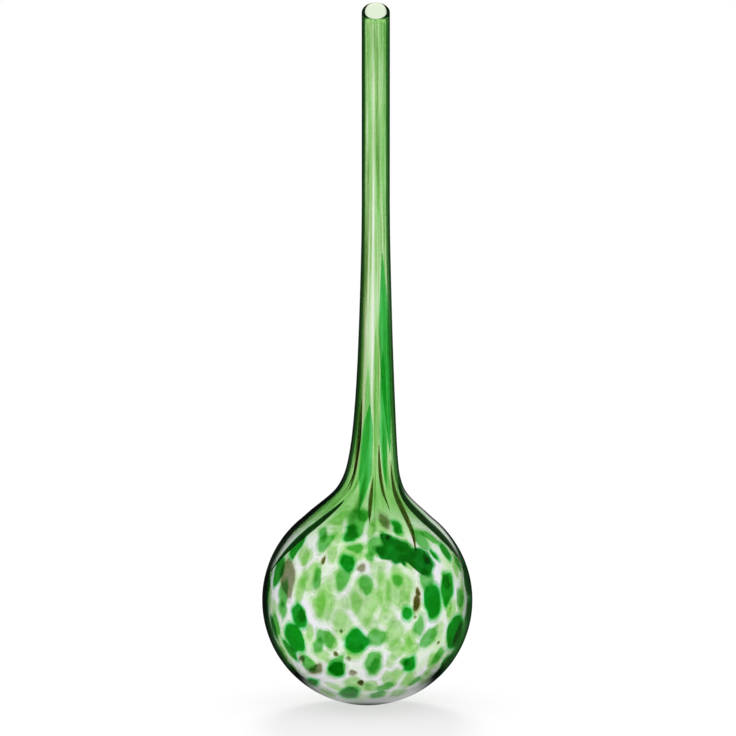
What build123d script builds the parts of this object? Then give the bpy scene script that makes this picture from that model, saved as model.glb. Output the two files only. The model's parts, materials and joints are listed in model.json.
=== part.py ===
from build123d import *
from math import acos, atan2, cos, degrees, hypot, radians, sin, sqrt
import os

# A blown glass watering globe, stood on its ball with the stem up. Lengths are in millimetres.
# The origin is the lowest point of the ball, +Z runs up to the mouth and -Y is the front.
# Turns are degrees round the glass from the front towards +X.

# Driving dimensions of the vessel
total_height = 300.0
ball_diameter = 90.0
ball_wall = 2.0
stem_diameter = 12.0
stem_wall = 1.5
straight_stem_length = 85.0
stem_offset = 3.6
rim_rounding = 0.5
mouth_slant = 32.0
shoulder_angle = 39.0

# How far the photo's camera looks down on the ball, in degrees
view_height = 5.5

# Depth of the coloured glass in the wall, and the spare that a cutter runs past a surface
chip_depth = 1.1
streak_depth = 0.75
overrun = 1.0

# Values worked out from them
ball_radius = ball_diameter / 2
stem_radius = stem_diameter / 2
bore_radius = stem_radius - stem_wall
shoulder_radius = ball_radius * sin(radians(shoulder_angle))
shoulder_height = ball_radius * (1 + cos(radians(shoulder_angle)))
stem_foot = total_height - straight_stem_length
neck_rise = stem_foot - shoulder_height
drawn_length = total_height - shoulder_height

# The neck from the shoulder up to the straight stem: the share of its rise, of the fall in radius
# that is still to come, and of the stem's sideways offset.
neck_shares = [
    (0.000, 1.000, 0.00),
    (0.026, 0.825, 0.02),
    (0.045, 0.690, 0.06),
    (0.064, 0.560, 0.14),
    (0.083, 0.448, 0.25),
    (0.104, 0.358, 0.37),
    (0.140, 0.270, 0.53),
    (0.178, 0.220, 0.65),
    (0.240, 0.173, 0.78),
    (0.326, 0.132, 0.88),
    (0.450, 0.090, 0.95),
    (0.600, 0.054, 0.98),
    (0.780, 0.022, 1.00),
    (0.900, 0.006, 1.00),
    (1.000, 0.000, 1.00),
]
# Latitudes of the ball, as shares of the shoulder angle, that lead the neck off it smoothly
lead_in_shares = [1.14, 1.07]

# Chips on the ball, where the photo shows them: across and up from its centre as shares of its
# radius, the side of the ball, half the length and half the width as shares of its radius, and the
# lean in degrees of the long side from upright, clockwise from outside.
FRONT = 1
BACK = -1
ball_chip_shares = {
    "shoulder_deep_green_chips": [
        (0.63, 0.45, FRONT, 0.085, 0.050, 25),
        (0.80, 0.47, BACK, 0.120, 0.080, -20),
        (-0.16, 0.62, BACK, 0.100, 0.080, 10),
        (0.30, 0.70, BACK, 0.110, 0.060, 0),
        (-0.72, 0.52, BACK, 0.130, 0.090, 15),
    ],
    "shoulder_dark_green_cluster": [
        (0.155, 0.545, FRONT, 0.105, 0.085, 0),
        (0.345, 0.485, FRONT, 0.100, 0.095, 20),
        (0.530, 0.385, FRONT, 0.090, 0.085, 40),
        (0.250, 0.380, FRONT, 0.045, 0.045, 0),
    ],
    "shoulder_leaf_green_chips": [
        (-0.115, 0.735, FRONT, 0.155, 0.088, 2),
        (0.03, 0.455, FRONT, 0.060, 0.055, 0),
        (-0.10, 0.525, FRONT, 0.055, 0.080, 0),
        (-0.425, 0.65, FRONT, 0.075, 0.042, 30),
        (0.60, 0.61, FRONT, 0.110, 0.045, 35),
        (0.10, 0.50, BACK, 0.110, 0.085, 0),
        (-0.42, 0.58, BACK, 0.120, 0.070, 20),
        (0.56, 0.59, BACK, 0.120, 0.070, -15),
        (0.86, 0.36, FRONT, 0.085, 0.050, 15),
        (-0.04, 0.80, BACK, 0.090, 0.060, 0),
    ],
    "shoulder_light_green_chips": [
        (-0.335, 0.47, FRONT, 0.075, 0.042, 15),
        (0.30, 0.66, FRONT, 0.060, 0.035, 25),
        (-0.60, 0.455, FRONT, 0.095, 0.045, 30),
        (0.045, 0.665, FRONT, 0.095, 0.038, -4),
        (-0.30, 0.76, BACK, 0.110, 0.060, 15),
        (0.40, 0.42, BACK, 0.130, 0.080, -10),
        (-0.17, 0.42, BACK, 0.080, 0.080, 0),
        (0.90, 0.30, BACK, 0.060, 0.050, 0),
    ],
    "shoulder_pale_green_chips": [
        (-0.270, 0.69, FRONT, 0.085, 0.045, 8),
        (0.12, 0.72, BACK, 0.060, 0.060, 0),
        (-0.60, 0.42, BACK, 0.075, 0.050, -10),
        (0.73, 0.64, BACK, 0.060, 0.045, 0),
        (0.87, 0.47, BACK, 0.080, 0.045, 0),
    ],
    "belly_deep_green_chips": [
        (-0.19, 0.385, FRONT, 0.100, 0.092, 0),
        (0.62, 0.01, FRONT, 0.175, 0.105, -4),
        (0.83, -0.30, FRONT, 0.180, 0.130, 14),
        (-0.11, -0.35, FRONT, 0.115, 0.125, 0),
        (-0.69, -0.34, FRONT, 0.155, 0.110, 4),
        (-0.90, 0.28, BACK, 0.150, 0.110, 8),
        (0.40, -0.16, BACK, 0.090, 0.070, -20),
        (0.82, 0.10, BACK, 0.170, 0.110, 10),
        (-0.70, -0.20, BACK, 0.140, 0.100, -8),
        (0.97, -0.075, FRONT, 0.105, 0.080, 0),
    ],
    "belly_dark_green_chips": [
        (-0.97, 0.06, FRONT, 0.190, 0.120, 6),
        (0.955, 0.205, FRONT, 0.130, 0.115, -6),
        (-0.955, -0.27, BACK, 0.130, 0.090, 0),
        (0.93, -0.34, BACK, 0.120, 0.100, 12),
    ],
    "belly_leaf_green_chips": [
        (0.29, 0.22, FRONT, 0.055, 0.045, 15),
        (-0.01, 0.19, FRONT, 0.085, 0.058, 0),
        (0.49, -0.225, FRONT, 0.115, 0.058, -12),
        (0.88, 0.03, FRONT, 0.080, 0.060, 0),
        (-0.46, -0.39, FRONT, 0.085, 0.050, -28),
        (-0.80, -0.06, FRONT, 0.080, 0.060, -10),
        (-0.62, -0.12, FRONT, 0.060, 0.048, -20),
        (-0.475, 0.20, FRONT, 0.110, 0.040, 6),
        (0.74, 0.22, FRONT, 0.075, 0.050, 15),
        (-0.87, -0.21, FRONT, 0.085, 0.065, 0),
        (-0.24, 0.16, BACK, 0.110, 0.075, 10),
        (0.60, 0.17, BACK, 0.120, 0.080, -12),
        (0.62, -0.40, BACK, 0.110, 0.080, 20),
        (-0.42, -0.42, BACK, 0.100, 0.080, -25),
        (-0.86, 0.05, BACK, 0.110, 0.080, 0),
        (0.10, -0.40, BACK, 0.100, 0.085, 15),
        (0.97, -0.24, FRONT, 0.070, 0.050, 0),
        (-0.96, -0.25, FRONT, 0.090, 0.055, 0),
    ],
    "belly_light_green_chips": [
        (0.16, 0.12, FRONT, 0.140, 0.042, 4),
        (0.26, -0.27, FRONT, 0.095, 0.065, -8),
        (-0.34, -0.34, FRONT, 0.070, 0.055, 0),
        (-0.54, -0.27, FRONT, 0.055, 0.038, -12),
        (-0.64, 0.12, FRONT, 0.100, 0.040, -12),
        (-0.45, 0.00, FRONT, 0.080, 0.060, -3),
        (0.77, -0.04, FRONT, 0.070, 0.035, 5),
        (0.41, -0.40, FRONT, 0.070, 0.060, 20),
        (-0.10, 0.02, FRONT, 0.060, 0.040, 0),
        (-0.04, -0.05, BACK, 0.165, 0.118, 4),
        (0.31, 0.09, BACK, 0.150, 0.105, -4),
        (-0.43, -0.08, BACK, 0.160, 0.070, 8),
        (-0.58, 0.22, BACK, 0.110, 0.075, 10),
        (0.97, 0.00, BACK, 0.120, 0.070, 0),
        (-0.99, 0.01, BACK, 0.100, 0.060, 0),
        (0.66, -0.10, BACK, 0.110, 0.070, -15),
        (-0.96, 0.27, BACK, 0.055, 0.045, 0),
    ],
    "belly_pale_green_chips": [
        (-0.28, -0.075, FRONT, 0.130, 0.065, 4),
        (0.345, 0.03, FRONT, 0.070, 0.035, -10),
        (0.66, -0.28, FRONT, 0.060, 0.045, 0),
        (0.03, -0.20, FRONT, 0.060, 0.045, 10),
        (-0.28, 0.20, FRONT, 0.090, 0.050, 0),
        (0.12, 0.24, BACK, 0.100, 0.070, 0),
        (0.18, -0.22, BACK, 0.080, 0.070, 15),
        (-0.22, -0.30, BACK, 0.090, 0.080, -10),
        (0.86, -0.14, BACK, 0.070, 0.050, 0),
        (-0.95, -0.10, BACK, 0.060, 0.050, 0),
        (0.99, 0.12, BACK, 0.060, 0.040, 0),
    ],
    "base_deep_green_chips": [
        (-0.17, -0.86, FRONT, 0.140, 0.085, -42),
        (-0.51, -0.765, FRONT, 0.130, 0.062, -58),
        (0.75, -0.60, FRONT, 0.150, 0.100, 30),
        (-0.30, -0.72, BACK, 0.120, 0.090, 20),
        (0.42, -0.68, BACK, 0.130, 0.080, -20),
        (-0.78, -0.52, BACK, 0.130, 0.090, -10),
    ],
    "base_leaf_green_chips": [
        (-0.29, -0.60, FRONT, 0.125, 0.082, -35),
        (0.08, -0.60, FRONT, 0.100, 0.062, -18),
        (0.345, -0.555, FRONT, 0.050, 0.050, 0),
        (0.10, -0.88, FRONT, 0.080, 0.060, -40),
        (0.05, -0.66, BACK, 0.110, 0.080, 0),
        (-0.60, -0.66, BACK, 0.090, 0.080, 30),
        (0.72, -0.60, BACK, 0.100, 0.070, 15),
        (-0.70, -0.65, FRONT, 0.080, 0.055, -25),
        (0.18, -0.90, BACK, 0.080, 0.060, 30),
        (0.50, -0.83, BACK, 0.080, 0.060, 0),
    ],
    "base_light_green_chips": [
        (0.24, -0.70, FRONT, 0.100, 0.078, 10),
        (0.63, -0.56, FRONT, 0.080, 0.055, 25),
        (0.38, -0.74, FRONT, 0.080, 0.065, 20),
        (0.045, -0.785, FRONT, 0.060, 0.050, 0),
        (-0.80, -0.50, FRONT, 0.070, 0.050, -15),
        (-0.12, -0.56, BACK, 0.080, 0.065, -10),
        (0.30, -0.53, BACK, 0.070, 0.055, 10),
        (0.62, -0.74, BACK, 0.050, 0.045, 0),
        (-0.10, -0.88, BACK, 0.090, 0.070, -30),
        (-0.85, -0.52, FRONT, 0.070, 0.050, 0),
    ],
    "base_pale_green_chips": [
        (0.22, -0.56, FRONT, 0.060, 0.040, 15),
        (0.56, -0.72, FRONT, 0.070, 0.050, 35),
        (0.30, -0.86, FRONT, 0.060, 0.050, 30),
        (0.43, -0.42, BACK, 0.055, 0.050, 0),
        (-0.45, -0.58, BACK, 0.060, 0.050, 0),
        (-0.32, -0.90, BACK, 0.060, 0.050, 0),
        (-0.38, -0.88, FRONT, 0.050, 0.040, 0),
        (0.877, -0.45, FRONT, 0.060, 0.050, 0),
        (0.85, -0.41, BACK, 0.060, 0.050, 0),
    ],
    "taupe_chips": [
        (-0.75, 0.23, FRONT, 0.190, 0.090, 20),
        (-0.47, -0.63, FRONT, 0.115, 0.050, -58),
        (0.17, 0.75, FRONT, 0.120, 0.055, 4),
        (-0.14, -0.655, FRONT, 0.042, 0.042, 0),
        (-0.62, -0.53, FRONT, 0.055, 0.040, -50),
        (0.60, 0.385, BACK, 0.065, 0.050, 20),
        (-0.06, 0.28, BACK, 0.060, 0.050, 0),
        (-0.18, -0.52, FRONT, 0.032, 0.028, 0),
    ],
    "brown_specks": [
        (0.465, 0.00, FRONT, 0.085, 0.040, -10),
        (0.45, -0.125, FRONT, 0.020, 0.018, 0),
        (-0.245, -0.255, FRONT, 0.026, 0.026, 0),
        (0.67, -0.375, FRONT, 0.020, 0.020, 0),
        (-0.06, -0.755, FRONT, 0.040, 0.030, 0),
        (-0.44, 0.37, BACK, 0.045, 0.025, 10),
        (0.51, 0.04, BACK, 0.045, 0.030, -20),
        (-0.32, -0.57, BACK, 0.030, 0.025, 0),
        (0.20, 0.60, BACK, 0.035, 0.025, 0),
    ],
}

# Streaks of the shoulder, the neck and the stem: lower and upper end above the shoulder as shares
# of the drawn length, the turn at the lower end, in the middle and at the upper end, and half the
# width as a share of the stem's radius. Those that end past the mouth are cut off with it.
streak_shares = {
    "shoulder_dark_green_bands": [
        (-0.095, 0.045, -74, -60, -38, 0.34),
        (-0.090, 0.090, -96, -89, -80, 0.36),
        (-0.085, 0.085, 78, 67, 70, 0.58),
    ],
    "neck_deep_green_streaks": [
        (0.028, 0.230, -11, -17, -15, 0.36),
        (0.130, 0.520, 44, 38, 27, 0.34),
        (0.050, 0.330, 145, 148, 148, 0.30),
    ],
    "neck_leaf_green_streaks": [
        (0.060, 0.200, 36, 31, 24, 0.15),
        (0.050, 0.420, -108, -108, -106, 0.30),
        (0.040, 0.300, -152, -152, -150, 0.28),
        (0.060, 0.400, 108, 106, 104, 0.34),
    ],
    "neck_light_green_streaks": [
        (0.095, 0.420, 8, 6, 5, 0.20),
        (0.060, 0.350, -62, -64, -62, 0.30),
        (0.085, 0.300, 70, 68, 66, 0.24),
        (-0.075, 0.050, -85, -74, -62, 0.20),
        (0.050, 0.380, 178, 179, 179, 0.24),
    ],
    "neck_brown_streaks": [
        (-0.045, 0.120, 33, 42, 46, 0.18),
        (0.030, 0.150, 26, 20, 13, 0.10),
        (0.010, 0.090, 2, 2, 3, 0.12),
        (0.060, 0.240, -40, -43, -42, 0.14),
        (0.045, 0.220, -128, -129, -128, 0.14),
    ],
    "stem_light_green_streaks": [
        (0.560, 1.440, -18, -18, -18, 0.24),
        (0.440, 1.560, -62, -62, -62, 0.31),
        (0.430, 1.570, -107, -107, -107, 0.31),
        (0.420, 1.580, -152, -152, -152, 0.29),
        (0.410, 1.590, 168, 168, 168, 0.27),
        (0.410, 1.590, 130, 130, 130, 0.25),
    ],
    "stem_leaf_green_streaks": [
        (0.530, 1.470, 38, 38, 38, 0.32),
        (0.410, 1.590, 88, 88, 88, 0.31),
    ],
    "stem_olive_streaks": [
        (0.590, 0.990, 6, 6, 6, 0.08),
        (0.380, 0.760, -36, -36, -36, 0.08),
    ],
    "stem_pale_streaks": [
        (0.370, 0.600, -4, -3, -1, 0.12),
        (0.450, 0.850, 62, 62, 62, 0.06),
    ],
}
# Where along its rise a streak's middle turn and width are given
middle_share = 0.4
# How far a cutter stands above the skin over the middle of a chip, as a share of the chip's depth
rise_share = 0.3
# A chip is no deeper than this share of half its width
deepest_share = 0.5
# A cutter curves at least this share of what the skin itself does
flattest_share = 0.05


def section_at(height):
    """Radius of the glass and sideways offset of its centre at a height."""
    if height <= shoulder_height:
        drop = height - ball_radius
        return sqrt(ball_radius**2 - drop**2), 0.0
    way_share = min(1.0, (height - shoulder_height) / neck_rise)
    for low, high in zip(neck_shares, neck_shares[1:]):
        if way_share <= high[0]:
            part = (way_share - low[0]) / (high[0] - low[0])
            swell_share = low[1] + part * (high[1] - low[1])
            shift_share = low[2] + part * (high[2] - low[2])
            break
    radius = stem_radius + swell_share * (shoulder_radius - stem_radius)
    return radius, shift_share * stem_offset


def skin(height, turn):
    """Point on the outer skin at a height and turn, with the outward normal and the way up."""
    reach = stem_wall
    if height <= shoulder_height - reach:
        tilt = atan2(height - ball_radius, section_at(height)[0])
    else:
        below = section_at(height - reach)[0]
        above = section_at(height + reach)[0]
        tilt = atan2(below - above, 2 * reach)
    radius, shift = section_at(height)
    out = Vector(sin(radians(turn)), -cos(radians(turn)), 0)
    up = Vector(0, 0, 1)
    point = Vector(shift, 0, height) + out * radius
    normal = out * cos(tilt) + up * sin(tilt)
    return point, normal, up * cos(tilt) - out * sin(tilt), tilt


def bends_at(height, half_length):
    """How sharply the skin bends along its rise and round it, as one over a radius."""
    step = half_length / 2
    tilt_low = skin(height - step, 0)[3]
    tilt_high = skin(height + step, 0)[3]
    tilt = skin(height, 0)[3]
    radius = section_at(height)[0]
    run = 2 * step / cos(tilt)
    return (tilt_high - tilt_low) / run, cos(tilt) / radius


def bend_of_cutter(depth, half, skin_bend):
    """One over the radius of a cutter that leaves a lens of that depth and half width."""
    needed = 2 * depth / half**2 - skin_bend
    return max(needed, flattest_share * abs(skin_bend))


def lens_cutter(height, turn, half_length, half_width, lean):
    """Barrel that cuts a lens-shaped chip out of the skin."""
    point, normal, upward, tilt = skin(height, turn)
    lean_angle = radians(lean)
    lengthwise = upward * cos(lean_angle) + upward.cross(normal) * -sin(lean_angle)
    bend_up, bend_round = bends_at(height, half_length)
    along = bend_up * cos(lean_angle) ** 2 + bend_round * sin(lean_angle) ** 2
    across = bend_up * sin(lean_angle) ** 2 + bend_round * cos(lean_angle) ** 2
    depth = min(chip_depth, deepest_share * half_width)
    long_radius = 1 / bend_of_cutter(depth, half_length, along)
    wide_radius = 1 / bend_of_cutter(depth, half_width, across)
    rise = rise_share * depth
    centre = wide_radius - depth
    half_chord = sqrt(wide_radius**2 - (centre - rise) ** 2)
    base = Plane(origin=point, x_dir=lengthwise, z_dir=normal)
    arc = ThreePointArc((0, -half_chord, rise), (0, 0, -depth), (0, half_chord, rise))
    lid = Line((0, half_chord, rise), (0, -half_chord, rise))
    section = make_face([arc, lid])
    half_turn = degrees(acos(1 - (depth + rise) / long_radius))
    axis = Axis((0, 0, long_radius - depth), (0, 1, 0))
    barrel = revolve(section.rotate(axis, -half_turn), axis, 2 * half_turn)
    return base.location * barrel


def place_on_ball(across_share, up_share, side):
    """Height and turn of the place on the ball that the photo shows there."""
    view = radians(view_height)
    near_share = side * sqrt(1 - across_share**2 - up_share**2)
    above_share = up_share * cos(view) + near_share * sin(view)
    front_share = near_share * cos(view) - up_share * sin(view)
    return ball_radius * (1 + above_share), degrees(atan2(across_share, front_share))


def ball_chip_cutter(across_share, up_share, side, length_share, width_share, lean):
    """Cutter of one chip of the ball, from its place in the photo."""
    height, turn = place_on_ball(across_share, up_share, side)
    half_length = length_share * ball_radius
    half_width = width_share * ball_radius
    return lens_cutter(height, turn, half_length, half_width, lean)


def streak_cutter(row, core):
    """Prism with two curved sides that meet in a point at both ends, down to the core under it."""
    low_share, high_share, low_turn, middle_turn, high_turn, width_share = row
    low = shoulder_height + low_share * drawn_length
    high = shoulder_height + high_share * drawn_length
    middle = low + middle_share * (high - low)
    centre, normal, upward, tilt = skin(middle, middle_turn)
    base = Plane(origin=centre, x_dir=normal.cross(upward), z_dir=normal)
    foot = base.to_local_coords(skin(low, low_turn)[0])
    head = base.to_local_coords(skin(high, high_turn)[0])
    half_width = width_share * stem_radius
    sides = [
        ThreePointArc((foot.X, foot.Y), (side * half_width, 0), (head.X, head.Y))
        for side in (1, -1)
    ]
    reach_in = section_at(high)[0]
    reach_out = section_at(low)[0]
    outline = make_face(sides).moved(Location((0, 0, -reach_in)))
    prism = base.location * extrude(outline, reach_in + reach_out, dir=(0, 0, 1))
    return (prism - core).solids().sort_by(SortBy.VOLUME)[-1]


def neck_sections(wall_at_foot, wall_at_top):
    """Circles of the neck, moved in square to the skin by the wall there."""
    rows = []
    for share in lead_in_shares:
        angle = radians(share * shoulder_angle)
        rows.append((ball_radius * (1 + cos(angle)), ball_radius * sin(angle), 0.0))
    for rise, swell, shift in neck_shares:
        height = shoulder_height + rise * neck_rise
        radius = stem_radius + swell * (shoulder_radius - stem_radius)
        rows.append((height, radius, shift * stem_offset))
    circles = []
    for i, (height, radius, shift) in enumerate(rows):
        height_share = (height - rows[0][0]) / (rows[-1][0] - rows[0][0])
        wall = wall_at_foot + (wall_at_top - wall_at_foot) * height_share
        if height <= shoulder_height:
            slope = atan2(height - ball_radius, radius)
        else:
            before, after = rows[i - 1], rows[min(i + 1, len(rows) - 1)]
            slope = atan2(before[1] - after[1], after[0] - before[0])
        if i == len(rows) - 1:
            slope = 0.0
        level = height - wall * sin(slope)
        circles.append(Pos(shift, 0, level) * Circle(radius - wall * cos(slope)))
    return circles


def blown_body(ball, stem, foot_wall, top_wall, top):
    """Solid of the whole outline, or of the hollow in it: ball, neck and straight stem."""
    circles = neck_sections(foot_wall, top_wall)
    neck = loft(circles)
    neck_foot = circles[0].position.Z
    keep = Pos(0, 0, neck_foot - ball_diameter) * Box(
        2 * ball_diameter, 2 * ball_diameter, 2 * ball_diameter
    )
    globe = Pos(0, 0, ball_radius) * Sphere(ball) & keep
    tube = Pos(stem_offset, 0, stem_foot) * Cylinder(
        stem, top - stem_foot, align=(Align.CENTER, Align.CENTER, Align.MIN)
    )
    return globe + neck + tube


def under_the_colour():
    """What lies deeper than the coloured streaks, the hollow included."""
    past_the_mouth = total_height + stem_diameter
    ball = ball_radius - chip_depth
    stem = stem_radius - streak_depth
    return blown_body(ball, stem, chip_depth, streak_depth, past_the_mouth + overrun)


def make_blank():
    """The vessel before any chip is let into it."""
    past_the_mouth = total_height + stem_diameter
    outside = blown_body(ball_radius, stem_radius, 0.0, 0.0, past_the_mouth)
    hollow = blown_body(
        ball_radius - ball_wall, bore_radius, ball_wall, stem_wall, past_the_mouth + overrun
    )
    blank = outside - hollow
    slant = radians(mouth_slant)
    lost_in_rounding = rim_rounding * ((1 + sin(slant)) / cos(slant) - 1)
    tip = (stem_offset, stem_radius, total_height + lost_in_rounding)
    mouth = Plane(origin=tip).rotated((mouth_slant, 0, 0))
    blank = split(blank, bisect_by=mouth, keep=Keep.BOTTOM)
    rim = blank.faces().sort_by(Axis.Z)[-1]
    return fillet(rim.edges(), rim_rounding)


def inlay(glass, cutter):
    """The one lens or streak of coloured glass that a cutter takes out of the wall."""
    return (glass & cutter).solids().sort_by(SortBy.VOLUME)[-1]


def main():
    os.makedirs("parts", exist_ok=True)
    blank = make_blank()
    ball = Pos(0, 0, ball_radius) * Sphere(ball_radius)
    nodes = {}
    vessel = blank
    for name, rows in ball_chip_shares.items():
        cutters = [ball_chip_cutter(*row) for row in rows]
        tops = [place_on_ball(*row[:3])[0] + row[3] * ball_radius for row in rows]
        glass = [blank if top > shoulder_height else ball for top in tops]
        nodes[name] = [inlay(*pair) for pair in zip(glass, cutters)]
        vessel = vessel - cutters
    core = under_the_colour()
    for name, rows in streak_shares.items():
        cutters = [streak_cutter(row, core) for row in rows]
        nodes[name] = [inlay(blank, cutter) for cutter in cutters]
        vessel = vessel - cutters
    nodes["glass_vessel"] = vessel.solids()
    for name, solids in nodes.items():
        export_step(Compound(children=solids), f"parts/{name}.step")
        print(name, len(solids), round(sum(solid.volume for solid in solids), 1))


main()
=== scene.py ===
import json
import math
from collections import namedtuple

import bmesh
import bpy
from bpy.props import FloatProperty, FloatVectorProperty, IntProperty, PointerProperty
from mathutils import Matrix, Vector, noise


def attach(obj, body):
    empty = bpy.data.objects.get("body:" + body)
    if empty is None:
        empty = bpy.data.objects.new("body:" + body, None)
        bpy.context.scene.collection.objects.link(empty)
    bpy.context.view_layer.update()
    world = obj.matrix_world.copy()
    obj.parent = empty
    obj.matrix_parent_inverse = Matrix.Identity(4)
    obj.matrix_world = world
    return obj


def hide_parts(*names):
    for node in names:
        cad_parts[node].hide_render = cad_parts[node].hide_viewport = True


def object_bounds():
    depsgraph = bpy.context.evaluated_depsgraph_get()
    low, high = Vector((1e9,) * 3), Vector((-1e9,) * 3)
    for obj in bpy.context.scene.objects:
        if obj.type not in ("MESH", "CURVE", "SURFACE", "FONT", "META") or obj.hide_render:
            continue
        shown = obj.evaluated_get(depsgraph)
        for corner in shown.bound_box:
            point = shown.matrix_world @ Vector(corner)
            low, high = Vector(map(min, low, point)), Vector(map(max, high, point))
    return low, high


# A watering globe of blown glass: a clear vessel with coloured glass melted into its skin, in
# chips on the ball and in long streaks on the neck and the tube. Metres, +Z up, -Y is the front.

bl_info = {
    "name": "Watering globe",
    "version": (1, 0, 0),
    "blender": (4, 5, 0),
    "location": "3D View > Sidebar > Globe",
    "description": "Blown glass watering globe with coloured chips and streaks in its skin",
    "category": "Object",
}

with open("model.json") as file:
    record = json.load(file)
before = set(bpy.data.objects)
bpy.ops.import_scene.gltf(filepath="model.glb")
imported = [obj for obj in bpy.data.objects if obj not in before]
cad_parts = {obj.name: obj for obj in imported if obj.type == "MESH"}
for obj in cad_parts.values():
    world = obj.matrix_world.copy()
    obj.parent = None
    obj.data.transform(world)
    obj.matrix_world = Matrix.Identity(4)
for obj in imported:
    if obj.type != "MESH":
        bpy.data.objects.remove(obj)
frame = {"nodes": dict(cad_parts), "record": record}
cad_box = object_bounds()

MM = 0.001
TINY = 1e-6
LOW, HIGH = cad_box
TOTAL_HEIGHT = HIGH.z - LOW.z
BALL_RADIUS = round((HIGH.x - LOW.x) / MM) * MM / 2
BALL_CENTRE = Vector((0, 0, BALL_RADIUS))

# The material slot of each CAD node, and the nodes of the chips and of the streaks
SLOTS = {part["node"]: part["material_slot"] for part in frame["record"]["subparts"]}
CHIP_NODES = [node for node in SLOTS if node.endswith(("_chips", "_cluster", "_specks"))]
STREAK_NODES = [node for node in SLOTS if node.endswith(("_bands", "_streaks"))]

# The neck from the shoulder up to the straight tube: the share of its rise, of the fall in radius
# that is still to come, and of the tube's sideways offset
NECK_SHARES = [
    (0.000, 1.000, 0.00),
    (0.026, 0.825, 0.02),
    (0.045, 0.690, 0.06),
    (0.064, 0.560, 0.14),
    (0.083, 0.448, 0.25),
    (0.104, 0.358, 0.37),
    (0.140, 0.270, 0.53),
    (0.178, 0.220, 0.65),
    (0.240, 0.173, 0.78),
    (0.326, 0.132, 0.88),
    (0.450, 0.090, 0.95),
    (0.600, 0.054, 0.98),
    (0.780, 0.022, 1.00),
    (0.900, 0.006, 1.00),
    (1.000, 0.000, 1.00),
]

# Two places on the ball that lead into the neck's curve, as shares of the shoulder's angle
LEAD_SHARES = (1.14, 1.07)

# Half the height over which the slope of the neck is measured
SLOPE_REACH = 0.5 * MM

# Tube radii below the top at which the slant of the mouth begins to show
SLANT_REACH = 4

# How finely the pieces are made
BALL_RINGS = 80
NECK_RINGS = 130
NECK_CROWDING = 1.5  # over 1 sets the rings closer at the shoulder
LIP_STEPS = 8
LENGTH_STEPS = 36  # directions in which a chip's length is looked for
OUTLINE_STEPS = 72  # directions in which its outline is worked out
CHIP_SPLITS = 4
STREAK_RINGS = 72
STREAK_SIDES = 20
MERGE_GAP = 0.001 * MM
CAD_MERGE_GAP = 0.0005 * MM

# Size of the bumps in what wanders. A chip's outline has coarse and fine bumps, as turns round it.
WALL_BUMPS = 24 * MM
CHIP_BUMPS = 8 * MM
CLUSTER_BUMPS = 2.5 * MM
STREAK_BUMPS = 14 * MM
STREAK_CHANGE = 15 * MM
COARSE_TURNS = 0.9
FINE_TURNS = 2.1
FINE_SHARE = 0.5

# How far the chips of each glass melt out where no other stops them, in their own size
MELT_REACH = {
    "deep_green_glass": 1.27,
    "dark_green_glass": 1.35,
    "leaf_green_glass": 1.60,
    "light_green_glass": 1.95,
    "pale_green_glass": 2.10,
    "taupe_glass": 1.50,
    "brown_glass": 1.50,
}

# A chip melts out from just inside its CAD outline, in steps of its own size
MELT_START = 0.96
MELT_STEP = 0.02
CHIP_SMOOTHING = 6

# The cluster's chips melt out until they run together. Its edge is looked for from outside.
CLUSTER_REACH = 2.20
CLUSTER_ROOM = 2
CLUSTER_LEAST = 0.1
CLUSTER_STEP = 0.01
CLUSTER_RAGS = 0.8  # raggedness of its edge, as a share of a chip's
CLUSTER_SMOOTHING = 2

# Most that a chip's depth and its fringe may be, as shares of half its width
DEPTH_LIMIT = 0.9
FRINGE_LIMIT = 0.35
CORE_RISE = 0.8  # share of the fringe's width in which the core reaches its full depth
FRINGE_ROUNDING = 4

# A streak wanders in width and in depth by a share of each, and its ends are thin
STREAK_WANDER = 0.25
STREAK_END_DEPTH = 0.1
STREAK_ROUNDING = 0.7
STREAK_LAST_RING = 0.15 * MM  # how far below the upper end it is closed
BAND_SPREAD = 1.05

# How many streak depths it takes to reach the colours below: drawn glass is thin, so it is paler
BAND_PALENESS = 0.4
STEM_PALENESS = 3.6
BROWN_PALENESS = 1.1
NECK_PALENESS = 2.2

# Colour that white light has left after one pass straight through the full depth of each glass
GLASS_COLOURS = {
    "deep_green_glass": (0.004, 0.360, 0.020),
    "dark_green_glass": (0.005, 0.260, 0.018),
    "leaf_green_glass": (0.190, 0.610, 0.170),
    "light_green_glass": (0.550, 0.830, 0.410),
    "pale_green_glass": (0.680, 0.900, 0.550),
    "taupe_glass": (0.360, 0.330, 0.240),
    "brown_glass": (0.110, 0.085, 0.020),
    "olive_glass": (0.150, 0.300, 0.070),
}
DENSITY_MARGIN = 1.02  # keeps the colour of the densest part just over black

WHITE = (1.0, 1.0, 1.0)
SEE_THROUGH = {"Transmission Weight": 1.0, "Roughness": 0.0}
CLEAR_BENDING = 1.5
NO_BENDING = 1.0  # the vessel round the coloured glass has bent the light already

# Noise patterns: cells per metre or per radius, and detail
CLOUD_ROUGHNESS = 0.55
BALL_CLOUDS = (75, 2)
FILM_CLOUDS = (2.6, 3)
LINE_CLOUDS = (9.0, 3)
MOTTLE_CLOUDS = (300, 3)

# How far up the patterns of drawn glass are pulled out
FILM_PULL = 110 * MM
LINE_PULL = 500 * MM
MOTTLE_PULL = 8  # times as long as wide

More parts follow.
